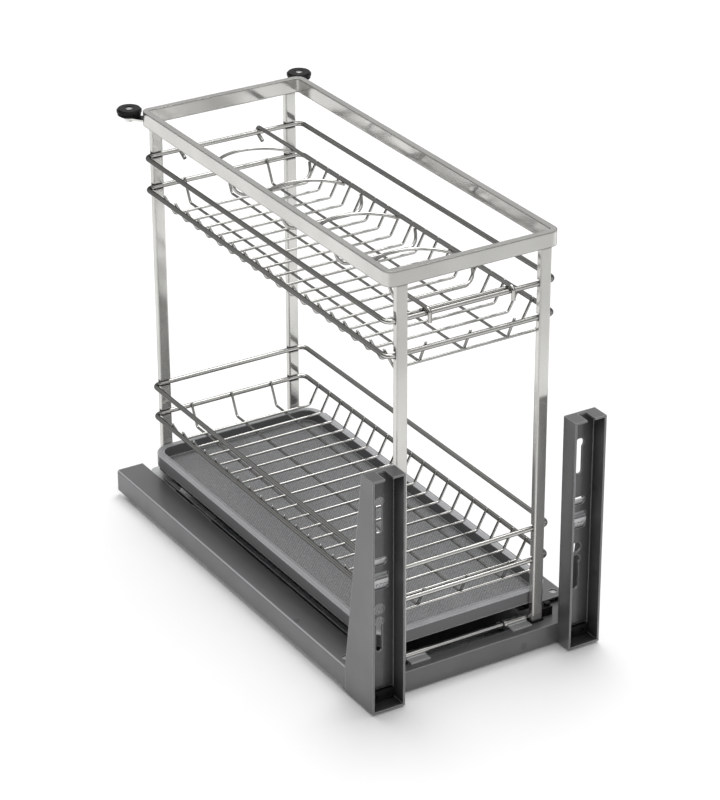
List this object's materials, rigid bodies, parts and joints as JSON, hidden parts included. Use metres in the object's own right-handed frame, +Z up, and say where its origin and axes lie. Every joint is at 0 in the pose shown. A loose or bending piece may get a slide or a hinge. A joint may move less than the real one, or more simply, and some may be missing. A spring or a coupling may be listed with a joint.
{
  "type": "pull-out cabinet basket",
  "caption": "Narrow pull-out cabinet unit with wire baskets, bottle insert and drip tray on a steel carriage with door brackets and runners.",
  "frame": {"origin": "on the cabinet floor, in the middle of the unit's width and depth", "axes": "+X across the cabinet to the right as seen from the door, +Y from the door into the cabinet, +Z up"},
  "size_m": [0.262, 0.537, 0.44],
  "materials": {
    "grey_paint": "satin",
    "zinc_plate": "satin",
    "chrome": "polished",
    "black_plastic": "matte",
    "tray_plastic": "satin"
  },
  "bodies": {
    "cabinet": {"cabinet_runner_left": "zinc_plate", "cabinet_runner_right": "zinc_plate"},
    "middle_left": {"middle_member_left": "zinc_plate"},
    "outer_cage_left": {"outer_ball_cage_left": "zinc_plate"},
    "inner_cage_left": {"inner_ball_cage_left": "zinc_plate"},
    "adjuster_left": {"door_adjuster_left": "zinc_plate"},
    "roller_left": {"guide_roller_left": "black_plastic"},
    "middle_right": {"middle_member_right": "zinc_plate"},
    "outer_cage_right": {"outer_ball_cage_right": "zinc_plate"},
    "inner_cage_right": {"inner_ball_cage_right": "zinc_plate"},
    "adjuster_right": {"door_adjuster_right": "zinc_plate"},
    "roller_right": {"guide_roller_right": "black_plastic"},
    "carriage": {"carriage_member_left": "zinc_plate", "carriage_member_right": "zinc_plate", "side_rail_left": "grey_paint", "side_rail_right": "grey_paint", "front_cross_rail": "grey_paint", "rear_cross_rail": "zinc_plate", "base_plate": "grey_paint", "tray_rail_left": "zinc_plate", "tray_rail_right": "zinc_plate", "door_bracket_left": "grey_paint", "door_bracket_right": "grey_paint", "bracket_block_left": "black_plastic", "bracket_block_right": "black_plastic", "rod_clip_left": "zinc_plate", "rod_clip_right": "zinc_plate", "cross_rod": "chrome", "rod_sleeve": "chrome", "rod_block_left": "black_plastic", "rod_block_right": "black_plastic", "foot_front_left": "black_plastic", "foot_front_right": "black_plastic", "foot_rear_left": "black_plastic", "foot_rear_right": "black_plastic", "post_front_left": "chrome", "post_front_right": "chrome", "post_rear_left": "chrome", "post_rear_right": "chrome", "top_frame": "chrome", "roller_arm_left": "chrome", "roller_arm_right": "chrome", "roller_screw_left": "chrome", "roller_screw_right": "chrome", "upper_basket_rails": "chrome", "upper_basket_floor": "chrome", "upper_basket_side_wires": "chrome", "upper_basket_end_wires": "chrome", "lower_basket_rails": "chrome", "lower_basket_floor": "chrome", "lower_basket_side_wires": "chrome", "lower_basket_end_wires": "chrome", "insert_side_wires": "chrome", "bottle_ring_1": "chrome", "bottle_ring_2": "chrome", "bottle_ring_3": "chrome", "bottle_ring_4": "chrome", "drip_tray": "tray_plastic"}
  },
  "joints": [
    {"name": "carriage_slide", "type": "slide", "parent": "cabinet", "child": "carriage", "axis": [0, -1, 0], "range_m": [0, 0.43]},
    {"name": "middle_left_slide", "type": "slide", "parent": "cabinet", "child": "middle_left", "axis": [0, -1, 0], "range_m": [0, 0.215]},
    {"name": "outer_cage_left_slide", "type": "slide", "parent": "cabinet", "child": "outer_cage_left", "axis": [0, -1, 0], "range_m": [0, 0.1075]},
    {"name": "inner_cage_left_slide", "type": "slide", "parent": "cabinet", "child": "inner_cage_left", "axis": [0, -1, 0], "range_m": [0, 0.3225]},
    {"name": "middle_right_slide", "type": "slide", "parent": "cabinet", "child": "middle_right", "axis": [0, -1, 0], "range_m": [0, 0.215]},
    {"name": "outer_cage_right_slide", "type": "slide", "parent": "cabinet", "child": "outer_cage_right", "axis": [0, -1, 0], "range_m": [0, 0.1075]},
    {"name": "inner_cage_right_slide", "type": "slide", "parent": "cabinet", "child": "inner_cage_right", "axis": [0, -1, 0], "range_m": [0, 0.3225]},
    {"name": "adjuster_left_slide", "type": "slide", "parent": "carriage", "child": "adjuster_left", "axis": [0, 0, 1], "range_m": [-0.0025, 0.0025]},
    {"name": "adjuster_right_slide", "type": "slide", "parent": "carriage", "child": "adjuster_right", "axis": [0, 0, 1], "range_m": [-0.0025, 0.0025]},
    {"name": "roller_left_spin", "type": "hinge", "parent": "carriage", "child": "roller_left", "pos_m": [-0.1005, 0.2555, 0.4308], "axis": [0, 0, 1], "continuous": true},
    {"name": "roller_right_spin", "type": "hinge", "parent": "carriage", "child": "roller_right", "pos_m": [0.1005, 0.2555, 0.4308], "axis": [0, 0, 1], "continuous": true}
  ],
  "couplings": [
    {"joint": "middle_left_slide", "follows": "carriage_slide", "ratio": 0.5},
    {"joint": "outer_cage_left_slide", "follows": "carriage_slide", "ratio": 0.25},
    {"joint": "inner_cage_left_slide", "follows": "carriage_slide", "ratio": 0.75},
    {"joint": "middle_right_slide", "follows": "carriage_slide", "ratio": 0.5},
    {"joint": "outer_cage_right_slide", "follows": "carriage_slide", "ratio": 0.25},
    {"joint": "inner_cage_right_slide", "follows": "carriage_slide", "ratio": 0.75}
  ]
}
